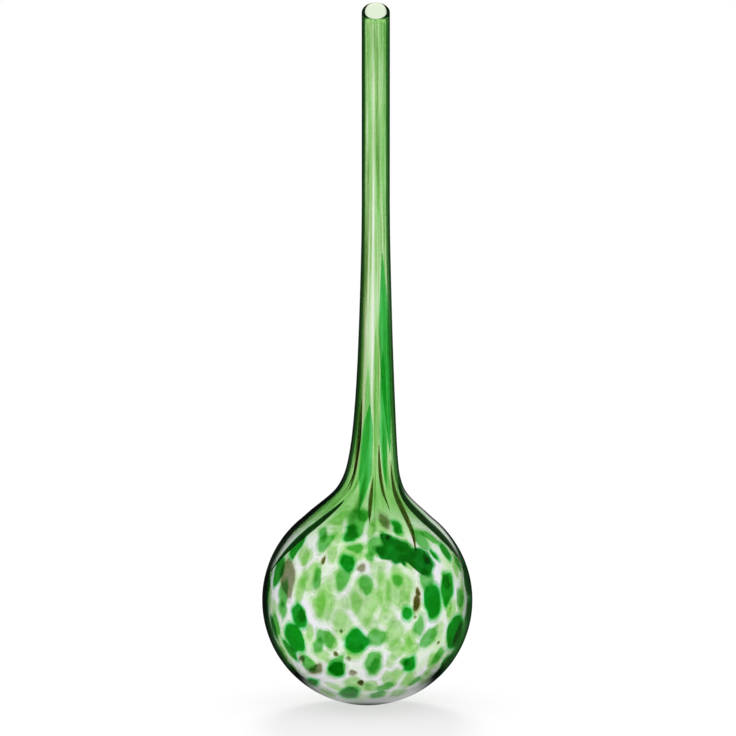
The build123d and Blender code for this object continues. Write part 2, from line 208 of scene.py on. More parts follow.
# Tints over the patterns, each with its place on the ramp
BALL_TINTS = [
    (0.38, (0.82, 0.96, 0.73)),
    (0.46, (0.92, 0.98, 0.88)),
    (0.52, (0.965, 0.955, 0.99)),
    (0.70, (0.98, 0.96, 1.0)),
]
FILM_TINTS = [
    (0.34, (0.62, 0.85, 0.54)),
    (0.46, (0.74, 0.90, 0.66)),
    (0.54, (0.84, 0.94, 0.76)),
    (0.66, (0.95, 0.975, 0.91)),
]
LINE_TINTS = [
    (0.34, (0.42, 0.54, 0.30)),
    (0.42, (0.84, 0.92, 0.76)),
    (0.50, WHITE),
]
FOOT_TINTS = [
    (0.0, (0.62, 0.87, 0.55)),
    (0.14, (0.69, 0.89, 0.62)),
    (0.28, (0.95, 0.98, 0.92)),
    (0.70, WHITE),
]
MOTTLE_PLACES = (0.35, 0.65)
MOTTLE_TINT = (0.78, 0.87, 0.74)
DARK_MOTTLE_TINT = (0.52, 0.66, 0.48)

# Where the vessel's glass changes: two limits of a height, or of a side, which is -1 at the left
# and 1 at the right, or of a back, which is -1 at the front and 1 at the back. Heights at the lip
# count from the front of it.
FILM_START = (69 * MM, 87 * MM)
FOOT_HEIGHTS = (70 * MM, 170 * MM)
PALE_SIDES = ((-0.34, -0.25), (-0.08, -0.17))
PALE_TONE = (0.95, 0.975, 0.92)
OLIVE_SIDE = (-0.68, -0.82)
OLIVE_HEIGHTS = ((108 * MM, 128 * MM), (215 * MM, 180 * MM))
OLIVE_TINT = (0.62, 0.64, 0.48)
MOUTH_DEPTHS = (2.4 * MM, 1.2 * MM)
MOUTH_BACK = (-0.2, 0.2)
MOUTH_TONE = (0.83, 0.925, 0.74)
LIP_DEPTHS = (1.5 * MM, 0.7 * MM)
LIP_FRONT = (0.1, -0.3)
LIP_TINT = (0.66, 0.86, 0.56)

# What the glass mirrors: a leafy tone straight behind it and a bright window up on the right, by
# the direction in which it is seen
LEAFY_TONES = [
    (0.66, (0.070, 0.220, 0.062)),
    (0.80, (0.038, 0.140, 0.040)),
    (0.90, (0.012, 0.055, 0.016)),
]
LEAFY_END = 0.96
LEAFY_LEAN = -0.14
WINDOW_ACROSS = (0.05, 0.14)
WINDOW_UP = (0.06, 0.16)
WINDOW_AHEAD = (0.80, 0.92)
WINDOW_TONE = (0.85, 0.86, 0.85)

# The floor: its own tone, its lift to white, and a painted reflection of it that the glass mirrors
# by the distance: dim at the contact as a painted shadow, a paler painted ring round it, dim again
# further out
BOARD_TONE = (0.3, 0.3, 0.3)
BOARD_LIFT = 0.62
NEAR_FLOOR = (0.0, 60 * MM)
NEAR_PLACES = (0.03, 0.70)
NEAR_TONES = [(0.10, (0.38, 0.40, 0.38)), (0.30, (0.42, 0.45, 0.42))]
FLOOR_END = (42 * MM, 60 * MM)

LIGHT_PLACE = (0, 1, 1)
SENSOR_WIDTH = 36
CLIP_END = 100
BOUNCES = {
    "max_bounces": 40,
    "transmission_bounces": 40,
    "glossy_bounces": 12,
    "transparent_max_bounces": 24,
}

# Middle of a chip on the skin, its two directions along it and half its size each way
Outline = namedtuple("Outline", "middle long_way wide_way half_length half_width")


class GlobeVessel(bpy.types.PropertyGroup):
    """Sizes of the clear vessel"""

    tube_radius: FloatProperty(
        name="Tube radius", description="Outer radius of the straight tube",
        default=6.0 * MM, subtype="DISTANCE",
    )
    tube_offset: FloatProperty(
        name="Tube offset", description="How far the tube stands beside the ball's axis",
        default=3.6 * MM, subtype="DISTANCE",
    )
    straight_length: FloatProperty(
        name="Straight length", description="Length of the straight tube below its tip",
        default=85.0 * MM, subtype="DISTANCE",
    )
    shoulder_angle: FloatProperty(
        name="Shoulder angle", description="Angle from the ball's top at which the neck begins",
        default=math.radians(39), subtype="ANGLE",
    )
    ball_wall: FloatProperty(
        name="Ball wall", description="Thickness of the glass in the ball",
        default=2.0 * MM, subtype="DISTANCE",
    )
    tube_wall: FloatProperty(
        name="Tube wall", description="Thickness of the glass in the tube",
        default=1.5 * MM, subtype="DISTANCE",
    )
    mouth_slant: FloatProperty(
        name="Mouth slant", description="Slant of the cut mouth from level",
        default=math.radians(32), subtype="ANGLE",
    )
    waviness: FloatProperty(
        name="Waviness", description="How far the blown inner wall wanders from round",
        default=0.16 * MM, subtype="DISTANCE",
    )
    segments: IntProperty(
        name="Segments", description="Faces round the vessel", default=144, min=24,
    )


class GlobeColour(bpy.types.PropertyGroup):
    """Sizes of the coloured glass"""

    chip_depth: FloatProperty(
        name="Chip depth", description="Depth of a chip in the ball's wall",
        default=1.15 * MM, subtype="DISTANCE",
    )
    streak_depth: FloatProperty(
        name="Streak depth", description="Depth of a streak in the tube's wall",
        default=0.8 * MM, subtype="DISTANCE",
    )
    cover: FloatProperty(
        name="Cover", description="Clear glass between the coloured glass and the air",
        default=0.06 * MM, subtype="DISTANCE",
    )
    ragged_share: FloatProperty(
        name="Raggedness", description="How far a chip's outline wanders, as a share of its size",
        default=0.30, subtype="FACTOR",
    )
    melt_share: FloatProperty(
        name="Melting", description="How far every chip melts out, as a share of what is usual",
        default=1.0, subtype="FACTOR",
    )
    drawn_spread: FloatProperty(
        name="Drawn spread", description="How much wider a streak melts out than its body",
        default=1.25, subtype="FACTOR",
    )
    vein_share: FloatProperty(
        name="Veins", description="Clear glass left between two chips, as a share of their size",
        default=0.08, subtype="FACTOR",
    )
    fringe_width: FloatProperty(
        name="Fringe width", description="Width of the thin pale edge round a chip",
        default=0.95 * MM, subtype="DISTANCE",
    )
    fringe_depth: FloatProperty(
        name="Fringe depth", description="Depth of a chip's fringe as a share of the core's",
        default=0.17, subtype="FACTOR",
    )


class GlobeStudio(bpy.types.PropertyGroup):
    """Camera and light of the studio"""

    view_height: FloatProperty(
        name="View height", description="How far the camera looks down on the globe",
        default=math.radians(5.5), subtype="ANGLE",
    )
    view_distance: FloatProperty(
        name="View distance", description="From the camera to the globe",
        default=2.4, subtype="DISTANCE",
    )
    frame_width: FloatProperty(
        name="Frame width", description="Width that the picture covers at the globe",
        default=313.6 * MM, subtype="DISTANCE",
    )
    frame_across: FloatProperty(
        name="Frame across", description="How far right of the ball the picture is centred",
        default=0.3 * MM, subtype="DISTANCE",
    )
    frame_up: FloatProperty(
        name="Frame up", description="How far above the floor the picture is centred",
        default=144.0 * MM, subtype="DISTANCE",
    )
    floor_size: FloatProperty(
        name="Floor size", description="Half the width of the floor",
        default=6.0, subtype="DISTANCE",
    )
    dim_tone: FloatVectorProperty(
        name="Dim side", description="Tone of the studio that the glass mirrors",
        default=(0.010, 0.014, 0.010), subtype="COLOR",
    )
    dim_floor: FloatVectorProperty(
        name="Dim floor", description="Tone of the floor that the glass mirrors",
        default=(0.008, 0.010, 0.008), subtype="COLOR",
    )
    light_power: FloatProperty(
        name="Light power", description="Strength of the light from behind, in W/m2", default=2.4,
    )
    light_height: FloatProperty(
        name="Light height", description="How high the light from behind stands",
        default=math.radians(33), subtype="ANGLE",
    )
    light_spread: FloatProperty(
        name="Light spread", description="How wide the light is, which softens the shadow",
        default=math.radians(16), subtype="ANGLE",
    )


def front_lip(sizes):
    """Height of the slanted mouth at the front, where it is lowest."""
    return TOTAL_HEIGHT - 2 * sizes.tube_radius * math.tan(sizes.mouth_slant)


def spot_on(rows, at):
    """Values of a table at a place, on a smooth curve through its rows."""
    last = len(rows) - 1
    i = 0
    while i < last - 1 and at > rows[i + 1][0]:
        i += 1
    low, high = rows[i], rows[i + 1]
    span = high[0] - low[0]
    t = min(max((at - low[0]) / span, 0.0), 1.0)
    result = []
    for k in range(1, len(low)):
        slopes = []
        for j in (i, i + 1):
            a, b = rows[max(j - 1, 0)], rows[min(j + 1, last)]
            slopes.append((b[k] - a[k]) / (b[0] - a[0]))
        rise = high[k] - low[k]
        result.append(
            low[k]
            + t * span * slopes[0] * (1 - t) ** 2
            + t**2 * (3 - 2 * t) * rise
            - t**2 * (1 - t) * span * slopes[1]
        )
    return result


class Skin:
    """The outer skin of the vessel and what lies under it."""

    def __init__(self, sizes):
        self.sizes = sizes
        angle = sizes.shoulder_angle
        self.shoulder = BALL_RADIUS * (1 + math.cos(angle))
        self.tube_foot = TOTAL_HEIGHT - sizes.straight_length
        swell = BALL_RADIUS * math.sin(angle) - sizes.tube_radius
        self.rows = []
        for share in LEAD_SHARES:
            lead = angle * share
            height = BALL_RADIUS * (1 + math.cos(lead))
            self.rows.append((height, BALL_RADIUS * math.sin(lead), 0.0))
        for rise_share, swell_share, shift_share in NECK_SHARES:
            self.rows.append((
                self.shoulder + rise_share * (self.tube_foot - self.shoulder),
                sizes.tube_radius + swell_share * swell,
                shift_share * sizes.tube_offset,
            ))

    def section(self, height):
        """Radius and sideways shift of the vessel at a height."""
        if height <= self.shoulder:
            drop = min(abs(height - BALL_RADIUS), BALL_RADIUS)
            return math.sqrt(BALL_RADIUS**2 - drop**2), 0.0
        if height >= self.tube_foot:
            return self.sizes.tube_radius, self.sizes.tube_offset
        return spot_on(self.rows, height)

    def tilt(self, height):
        """Angle of the outward normal above level."""
        if height <= self.shoulder:
            return math.asin(max(-1.0, min(1.0, (height - BALL_RADIUS) / BALL_RADIUS)))
        fall = self.section(height - SLOPE_REACH)[0] - self.section(height + SLOPE_REACH)[0]
        return math.atan2(fall, 2 * SLOPE_REACH)

    def wall(self, height):
        """Thickness of the glass at a height."""
        way = (height - self.shoulder) / (self.tube_foot - self.shoulder)
        way = min(max(way, 0.0), 1.0)
        return self.sizes.ball_wall + way * (self.sizes.tube_wall - self.sizes.ball_wall)

    def point(self, height, turn, depth):
        """Point at a height and a turn from the front towards +X, that deep under the skin."""
        radius, shift = self.section(height)
        tilt = self.tilt(height)
        inward = radius - depth * math.cos(tilt)
        return Vector((
            shift + math.sin(turn) * inward,
            -math.cos(turn) * inward,
            height - depth * math.sin(tilt),
        ))


def new_piece(name, shape, material, smooth=True):
    """Object of a finished mesh, with one material."""
    mesh = bpy.data.meshes.new(name)
    shape.to_mesh(mesh)
    shape.free()
    for face in mesh.polygons:
        face.use_smooth = smooth
    mesh.materials.append(material)
    piece = bpy.data.objects.new(name, mesh)
    bpy.context.scene.collection.objects.link(piece)
    return piece


def emptied(owner):
    """Node tree of a new material or world, with nothing in it."""
    owner.use_nodes = True
    owner.node_tree.nodes.clear()
    return owner.node_tree


def node_of(tree, kind, inputs=None, **settings):
    """New node with its settings, and with its inputs linked to outputs or set to values."""
    node = tree.nodes.new(kind)
    for name, value in settings.items():
        setattr(node, name, value)
    for place, value in (inputs or {}).items():
        socket = node.inputs[place]
        if isinstance(value, bpy.types.NodeSocket):
            tree.links.new(value, socket)
        else:
            socket.default_value = (*value, 1) if socket.type == "RGBA" else value
    return node


def math_of(tree, operation, *values):
    """Result of one sum on some values."""
    inputs = dict(enumerate(values))
    return node_of(tree, "ShaderNodeMath", inputs, operation=operation).outputs[0]


def soft_step(tree, measure, limits):
    """0 before the first limit of a measure and 1 past the second, with a soft rise between."""
    inputs = {"Value": measure, "From Min": limits[0], "From Max": limits[1]}
    step = node_of(tree, "ShaderNodeMapRange", inputs, interpolation_type="SMOOTHSTEP")
    return step.outputs["Result"]


def patch_of(tree, *sides):
    """1 where each measure lies past its limits, else 0, with soft edges."""
    patch = 1.0
    for measure, limits in sides:
        patch = math_of(tree, "MULTIPLY", patch, soft_step(tree, measure, limits))
    return patch


def ramp_of(tree, value, stops):
    """Tone read off a ramp of places and tones."""
    ramp = node_of(tree, "ShaderNodeValToRGB", {"Fac": value})
    bar = ramp.color_ramp.elements
    while len(bar) < len(stops):
        bar.new(0.5)
    for stop, (place, tone) in zip(bar, stops):
        stop.position = place
        stop.color = (*tone, 1)
    return ramp.outputs["Color"]


def faded(tree, share, tone, other):
    """A tone that gives way to another as the share rises."""
    inputs = {0: share, 6: tone, 7: other}
    return node_of(tree, "ShaderNodeMix", inputs, data_type="RGBA").outputs[2]


def tinted(tree, share, tone, tint):
    """A tone that takes on a tint as the share rises."""
    inputs = {0: share, 6: tone, 7: tint}
    mix = node_of(tree, "ShaderNodeMix", inputs, data_type="RGBA", blend_type="MULTIPLY")
    return mix.outputs[2]


def clouds_of(tree, place, cells, detail):
    """Noise with so many cells in one unit of the place."""
    inputs = {"Vector": place, "Scale": cells, "Detail": detail, "Roughness": CLOUD_ROUGHNESS}
    return node_of(tree, "ShaderNodeTexNoise", inputs).outputs["Fac"]


def object_place(tree, pull=1.0):
    """Place on the object, squeezed upwards so that a pattern comes out drawn."""
    place = node_of(tree, "ShaderNodeTexCoord").outputs["Object"]
    inputs = {"Vector": place, "Scale": (1, 1, 1 / pull)}
    return node_of(tree, "ShaderNodeMapping", inputs).outputs["Vector"]


def round_place(tree, offset):
    """Direction out from the tube's axis, the height, and how far right and back it points."""
    place = node_of(tree, "ShaderNodeTexCoord").outputs["Object"]
    split = node_of(tree, "ShaderNodeSeparateXYZ", {0: place}).outputs
    across = math_of(tree, "SUBTRACT", split["X"], offset)
    flat = node_of(tree, "ShaderNodeCombineXYZ", {"X": across, "Y": split["Y"]}).outputs[0]
    outward = node_of(tree, "ShaderNodeVectorMath", {0: flat}, operation="NORMALIZE").outputs[0]
    parts = node_of(tree, "ShaderNodeSeparateXYZ", {0: outward}).outputs
    return outward, split["Z"], parts["X"], parts["Y"]


def drawn_place(tree, outward, height, pull):
    """Place for a pattern that is pulled out upwards and widens with the neck."""
    rise = math_of(tree, "DIVIDE", height, pull)
    lift = node_of(tree, "ShaderNodeCombineXYZ", {"Z": rise}).outputs[0]
    raised = node_of(tree, "ShaderNodeVectorMath", {0: outward, 1: lift}, operation="ADD")
    return raised.outputs["Vector"]


def clear_glass(sizes):
    """The vessel's own glass: a trace of lime in the ball, streaky green film in neck and tube."""
    material = bpy.data.materials.new("clear_glass")
    tree = emptied(material)
    ball = ramp_of(tree, clouds_of(tree, object_place(tree), *BALL_CLOUDS), BALL_TINTS)

    outward, height, side, back = round_place(tree, sizes.tube_offset)
    film_place = drawn_place(tree, outward, height, FILM_PULL)
    film = ramp_of(tree, clouds_of(tree, film_place, *FILM_CLOUDS), FILM_TINTS)
    line_place = drawn_place(tree, outward, height, LINE_PULL)
    lines = ramp_of(tree, clouds_of(tree, line_place, *LINE_CLOUDS), LINE_TINTS)
    film = tinted(tree, 1.0, film, lines)
    pale = patch_of(tree, *[(side, limits) for limits in PALE_SIDES])
    film = faded(tree, pale, film, PALE_TONE)
    olive = patch_of(tree, (side, OLIVE_SIDE), *[(height, limits) for limits in OLIVE_HEIGHTS])
    film = tinted(tree, olive, film, OLIVE_TINT)
    foot = ramp_of(tree, soft_step(tree, height, FOOT_HEIGHTS), FOOT_TINTS)
    film = tinted(tree, 1.0, film, foot)

    lip_height = front_lip(sizes)
    mouth_limits = [lip_height - depth for depth in MOUTH_DEPTHS]
    mouth = patch_of(tree, (height, mouth_limits), (back, MOUTH_BACK))
    film = faded(tree, mouth, film, MOUTH_TONE)
    lip_limits = [lip_height - depth for depth in LIP_DEPTHS]
    lip = patch_of(tree, (height, lip_limits), (back, LIP_FRONT))
    film = tinted(tree, lip, film, LIP_TINT)

    tint = faded(tree, soft_step(tree, height, FILM_START), ball, film)
    glass = node_of(tree, "ShaderNodeBsdfPrincipled", {
        **SEE_THROUGH, "IOR": CLEAR_BENDING, "Base Color": tint,
    })
    node_of(tree, "ShaderNodeOutputMaterial", {"Surface": glass.outputs["BSDF"]})
    return material


def coloured_glass(slot, depth, pull=1.0):
    """Glass that takes its colour from the way that light goes through it, a little mottled."""
    material = bpy.data.materials.new(slot)
    tree = emptied(material)
    low, high = MOTTLE_PLACES
    mottle = DARK_MOTTLE_TINT if slot == "dark_green_glass" else MOTTLE_TINT
    clouds = clouds_of(tree, object_place(tree, pull), *MOTTLE_CLOUDS)
    glass = node_of(tree, "ShaderNodeBsdfPrincipled", {
        **SEE_THROUGH, "IOR": NO_BENDING, "Specular IOR Level": 0.0,
        "Base Color": ramp_of(tree, clouds, [(low, mottle), (high, WHITE)]),
    })
    losses = [-math.log(part) / depth for part in GLASS_COLOURS[slot]]
    density = DENSITY_MARGIN * max(losses)
    volume = node_of(tree, "ShaderNodeVolumeAbsorption", {
        "Color": [1 - loss / density for loss in losses], "Density": density,
    })
    node_of(tree, "ShaderNodeOutputMaterial", {
        "Surface": glass.outputs["BSDF"], "Volume": volume.outputs["Volume"],
    })
    return material


def loose_parts(node):
    """Each separate solid of a CAD node: its points and its edges."""
    shape = bmesh.new()
    shape.from_mesh(frame["nodes"][node].data)
    bmesh.ops.remove_doubles(shape, verts=shape.verts, dist=CAD_MERGE_GAP)
    parts, seen = [], set()
    for start in shape.verts:
        if start in seen:
            continue
        part, ahead = [], [start]
        seen.add(start)
        while ahead:
            vert = ahead.pop()
            part.append(vert)
            for edge in vert.link_edges:
                other = edge.other_vert(vert)
                if other not in seen:
                    seen.add(other)
                    ahead.append(other)
        edges = {edge for vert in part for edge in vert.link_edges}
        parts.append((
            [vert.co.copy() for vert in part],
            [(edge.verts[0].co.copy(), edge.verts[1].co.copy()) for edge in edges],
        ))
    shape.free()
    return parts


def chip_outline(points, skin):
    """Outline of the chip that some CAD points belong to."""
    low = Vector([min(p[k] for p in points) for k in range(3)])
    high = Vector([max(p[k] for p in points) for k in range(3)])
    middle = (low + high) / 2
    turn = math.atan2(middle.x, -middle.y)
    tilt = skin.tilt(middle.z)
    normal = Vector((
        math.sin(turn) * math.cos(tilt), -math.cos(turn) * math.cos(tilt), math.sin(tilt),
    ))
    up = (Vector((0, 0, 1)) - normal * normal.z).normalized()
    side = up.cross(normal)
    flat = [((p - middle).dot(side), (p - middle).dot(up)) for p in points]

    def size_along(angle):
        along = [x * math.cos(angle) + y * math.sin(angle) for x, y in flat]
        return max(along) - min(along)

    angles = [math.pi * step / LENGTH_STEPS for step in range(LENGTH_STEPS)]
    length, angle = max((size_along(angle), angle) for angle in angles)
    across = angle + math.pi / 2
    long_way = side * math.cos(angle) + up * math.sin(angle)
    wide_way = side * math.cos(across) + up * math.sin(across)
    return Outline(middle, long_way, wide_way, length / 2, size_along(across) / 2)


def smoothed(reach, passes):
    """The same way round without the steps and corners."""
    for _ in range(passes):
        reach = [
            0.25 * reach[i - 1] + 0.5 * reach[i] + 0.25 * reach[(i + 1) % OUTLINE_STEPS]
            for i in range(OUTLINE_STEPS)
        ]
    return reach


def melted_reach(outline, others, melt, sizes):
    """How far a chip melts out each way round, in its own size, until it meets the others."""
    middle, long_way, wide_way, half_length, half_width = outline
    near = [
        (
            other.middle,
            other.long_way / (other.half_length * other_melt),
            other.wide_way / (other.half_width * other_melt),
        )
        for other, other_melt in others
        if other is not outline
        and (other.middle - middle).length < melt * half_length + other_melt * other.half_length
    ]
    seed = middle / CHIP_BUMPS
    reach = []
    for step in range(OUTLINE_STEPS):
        angle = 2 * math.pi * step / OUTLINE_STEPS
        edge = Vector((math.cos(angle), math.sin(angle), 0))
        ragged = noise.noise(seed + edge * COARSE_TURNS)
        ragged += FINE_SHARE * noise.noise(seed + edge * FINE_TURNS)
        limit = 1 + sizes.ragged_share * ragged
        way = long_way * (half_length * edge.x) + wide_way * (half_width * edge.y)
        far = MELT_START / melt
        while far < limit:
            place = middle + way * (far * melt)
            offs = [(place - at, along, across) for at, along, across in near]
            if any(
                math.hypot(off.dot(along), off.dot(across)) < far + sizes.vein_share
                for off, along, across in offs
            ):
                break
            far += MELT_STEP
        reach.append(melt * min(far, limit))
    return smoothed(reach, CHIP_SMOOTHING)


def joined_outline(outlines):
    """One round outline about chips that ran together."""
    middle = sum((outline.middle for outline in outlines), Vector()) / len(outlines)
    normal = (middle - BALL_CENTRE).normalized()
    wide_way = normal.cross(outlines[0].long_way).normalized()
    size = max(
        (outline.middle - middle).length + CLUSTER_ROOM * outline.half_length
        for outline in outlines
    )
    return Outline(middle, wide_way.cross(normal), wide_way, size, size)


def own_distance(place, chips):
    """Distance of a place from the nearest chip, in that chip's own melted size."""
    nearest = math.inf
    for chip, melt in chips:
        off = place - chip.middle
        along = off.dot(chip.long_way) / (chip.half_length * melt)
        across = off.dot(chip.wide_way) / (chip.half_width * melt)
        nearest = min(nearest, math.hypot(along, across))
    return nearest


def joined_reach(whole, chips, others, sizes):
    """How far chips that ran together reach each way round, in the size of the whole."""
    reach = []
    for step in range(OUTLINE_STEPS):
        angle = 2 * math.pi * step / OUTLINE_STEPS
        way = whole.long_way * math.cos(angle) + whole.wide_way * math.sin(angle)
        way = way * whole.half_length
        far = 1.0
        while far > CLUSTER_LEAST:
            place = whole.middle + way * far
            held = own_distance(place, chips)
            ragged = CLUSTER_RAGS * sizes.ragged_share * noise.noise(place / CLUSTER_BUMPS)
            if held < 1 + ragged and held + sizes.vein_share < own_distance(place, others):
                break
            far -= CLUSTER_STEP
        reach.append(far)
    return smoothed(reach, CLUSTER_SMOOTHING)


def laid_chip(shape, outline, reach, skin, sizes):
    """Adds one chip to a mesh: a ball pressed flat under the skin, with a thin fringe."""
    middle, long_way, wide_way, half_length, half_width = outline
    made = bmesh.ops.create_icosphere(shape, subdivisions=CHIP_SPLITS, radius=1.0)
    depth = min(sizes.chip_depth, DEPTH_LIMIT * half_width)
    fringe = min(sizes.fringe_width, FRINGE_LIMIT * half_width)
    for vert in made["verts"]:
        x, y, z = vert.co
        out = math.hypot(x, y)
        turn = (math.atan2(y, x) / (2 * math.pi) % 1.0) * OUTLINE_STEPS
        i = int(turn) % OUTLINE_STEPS
        grow = reach[i] + (turn - int(turn)) * (reach[(i + 1) % OUTLINE_STEPS] - reach[i])
        place = middle + long_way * (x * half_length * grow) + wide_way * (y * half_width * grow)
        inside = (1 - out) * grow * half_width - fringe
        t = min(max(inside / (CORE_RISE * fringe), 0.0), 1.0)
        core = t * t * (3 - 2 * t)
        thin = sizes.fringe_depth * math.sqrt(max(0.0, 1 - out**FRINGE_ROUNDING))
        sunk = core + (1 - core) * thin if z < 0 else 0.0
        deep = sizes.cover + (depth - sizes.cover) * sunk
        if place.z < skin.shoulder:
            vert.co = BALL_CENTRE + (place - BALL_CENTRE).normalized() * (BALL_RADIUS - deep)
        else:
            shift = skin.section(place.z)[1]
            vert.co = skin.point(place.z, math.atan2(place.x - shift, -place.y), deep)


def crossing(edges, height, shift):
    """Lowest and highest turn of a solid where a level plane cuts it."""
    turns = []
    for a, b in edges:
        if (a.z - height) * (b.z - height) < 0:
            p = a.lerp(b, (height - a.z) / (b.z - a.z))
            turns.append(math.atan2(p.x - shift, -p.y))
    if not turns:
        return None
    first = turns[0]
    spread = [(t - first + math.pi) % (2 * math.pi) - math.pi for t in turns]
    return first + min(spread), first + max(spread)


def drawn_streak(shape, points, edges, spread, skin, sizes):
    """Adds one streak to a mesh: a long lens just under the skin, about as wide as its solid."""
    depth = sizes.streak_depth
    low = min(p.z for p in points)
    high = min(max(p.z for p in points), front_lip(skin.sizes) - depth)
    heights = [low + (high - low) * i / STREAK_RINGS for i in range(1, STREAK_RINGS)]
    heights.append(high - STREAK_LAST_RING)
    stations = []
    for height in heights:
        found = crossing(edges, height, skin.section(height)[1])
        if found:
            stations.append((height, (found[0] + found[1]) / 2, (found[1] - found[0]) / 2))
    count = len(stations)
    made = bmesh.ops.create_uvsphere(
        shape, u_segments=STREAK_SIDES, v_segments=count + 1, radius=1.0,
    )
    seed = points[0] / STREAK_CHANGE
    for vert in made["verts"]:
        x, y, z = vert.co
        way = math.acos(max(-1.0, min(1.0, -z))) / math.pi * (count + 1) - 1
        height, turn, half = stations[min(max(round(way), 0), count - 1)]
        ring = math.hypot(x, y)
        if ring < TINY:
            height = low if z < 0 else high
            vert.co = skin.point(height, turn, sizes.cover + STREAK_END_DEPTH * depth)
            continue
        wave = noise.noise(seed + Vector((0, 0, height / STREAK_BUMPS)))
        wander = spread * (1 + STREAK_WANDER * wave)
        thick = depth * (1 - STREAK_WANDER * abs(wave))
        sunk = max(0.0, -y / ring)
        deep = sizes.cover + (thick - sizes.cover) * sunk**STREAK_ROUNDING
        vert.co = skin.point(height, turn + half * (x / ring) * wander, deep)


def paleness(node):
    """How many streak depths the glass of a streak takes to reach its full colour."""
    if node.endswith("_bands"):
        return BAND_PALENESS
    if node.startswith("stem_"):
        return STEM_PALENESS
    return BROWN_PALENESS if SLOTS[node] == "brown_glass" else NECK_PALENESS


def wall_profile(skin, mouth):
    """Radius and height up the outside and over the lip, and back down the inside."""
    sizes = skin.sizes
    outer = [(0.0, 0.0)]
    for i in range(1, BALL_RINGS):
        angle = math.pi - (math.pi - sizes.shoulder_angle) * i / BALL_RINGS
        outer.append((BALL_RADIUS * math.sin(angle), BALL_RADIUS * (1 + math.cos(angle))))
    for i in range(NECK_RINGS + 1):
        rise = (i / NECK_RINGS) ** NECK_CROWDING
        height = skin.shoulder + (mouth - skin.shoulder) * rise
        outer.append((skin.section(height)[0], height))
    inner = []
    for radius, height in reversed(outer[1:]):
        wall, tilt = skin.wall(height), skin.tilt(height)
        inner.append((radius - wall * math.cos(tilt), height - wall * math.sin(tilt)))
    inner.append((0.0, sizes.ball_wall))
    rim = sizes.tube_wall / 2
    centre = sizes.tube_radius - rim
    for i in range(1, LIP_STEPS):
        angle = math.pi * i / LIP_STEPS
        outer.append((centre + rim * math.cos(angle), mouth + rim * math.sin(angle)))
    return outer, inner


class GLOBE_OT_vessel(bpy.types.Operator):
    """Blows the clear vessel: one wall from the ball to the slanted mouth"""

    bl_idname = "globe.vessel"
    bl_label = "Blow the vessel"

    def execute(self, context):
        sizes = context.scene.globe_vessel
        skin = Skin(sizes)
        mesh = bmesh.new()
        drop = math.tan(sizes.mouth_slant)
        mouth = TOTAL_HEIGHT - sizes.tube_wall / 2 * (math.hypot(1, drop) - drop)
        outer, inner = wall_profile(skin, mouth)
        inner_layer = mesh.verts.layers.int.new("inner")
        rings = [mesh.verts.new((radius, 0, height)) for radius, height in outer + inner]
        for vert in rings[len(outer):]:
            vert[inner_layer] = 1
        for a, b in zip(rings, rings[1:]):
            mesh.edges.new((a, b))
        bmesh.ops.spin(
            mesh, geom=mesh.verts[:] + mesh.edges[:], cent=(0, 0, 0), axis=(0, 0, 1),
            angle=2 * math.pi, steps=sizes.segments, use_merge=True,
        )
        bmesh.ops.remove_doubles(mesh, verts=mesh.verts, dist=MERGE_GAP)
        slant_from = TOTAL_HEIGHT - SLANT_REACH * sizes.tube_radius
        for vert in mesh.verts:
            x, y, z = vert.co
            out = Vector((x, y, 0))
            if vert[inner_layer] and out.length > TINY:
                wave = noise.noise(vert.co / WALL_BUMPS)
                vert.co += out.normalized() * sizes.waviness * wave
            vert.co.x += skin.section(min(max(z, 0.0), TOTAL_HEIGHT))[1]
            if z > slant_from:
                fall = (sizes.tube_radius - y) * drop
                vert.co.z -= fall * (z - slant_from) / (TOTAL_HEIGHT - slant_from)
        bmesh.ops.recalc_face_normals(mesh, faces=mesh.faces)
        piece = new_piece("vessel_skin", mesh, clear_glass(sizes))
        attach(piece, "root")
        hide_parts("glass_vessel")
        return {"FINISHED"}


class GLOBE_OT_chips(bpy.types.Operator):
    """Lays the coloured chips into the skin of the ball"""

    bl_idname = "globe.chips"
    bl_label = "Lay the chips"

    def execute(self, context):
        sizes = context.scene.globe_colour
        skin = Skin(context.scene.globe_vessel)
        materials = {}
        chips = {}
        for node in CHIP_NODES:
            reach = CLUSTER_REACH if node.endswith("_cluster") else MELT_REACH[SLOTS[node]]
            melt = sizes.melt_share * reach
            chips[node] = [
                (chip_outline(points, skin), melt) for points, _ in loose_parts(node)
            ]
        for node in CHIP_NODES:
            slot = SLOTS[node]
            if slot not in materials:
                materials[slot] = coloured_glass(slot, sizes.chip_depth)
            mesh = bmesh.new()
            others = [chip for other in CHIP_NODES if other != node for chip in chips[other]]
            if node.endswith("_cluster"):
                whole = joined_outline([outline for outline, _ in chips[node]])
                reach = joined_reach(whole, chips[node], others, sizes)
                laid_chip(mesh, whole, reach, skin, sizes)
            else:
                for outline, melt in chips[node]:
                    reach = melted_reach(outline, others + chips[node], melt, sizes)
                    laid_chip(mesh, outline, reach, skin, sizes)
            piece = new_piece(node + "_in_skin", mesh, materials[slot])
            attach(piece, "root")
            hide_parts(node)
        return {"FINISHED"}


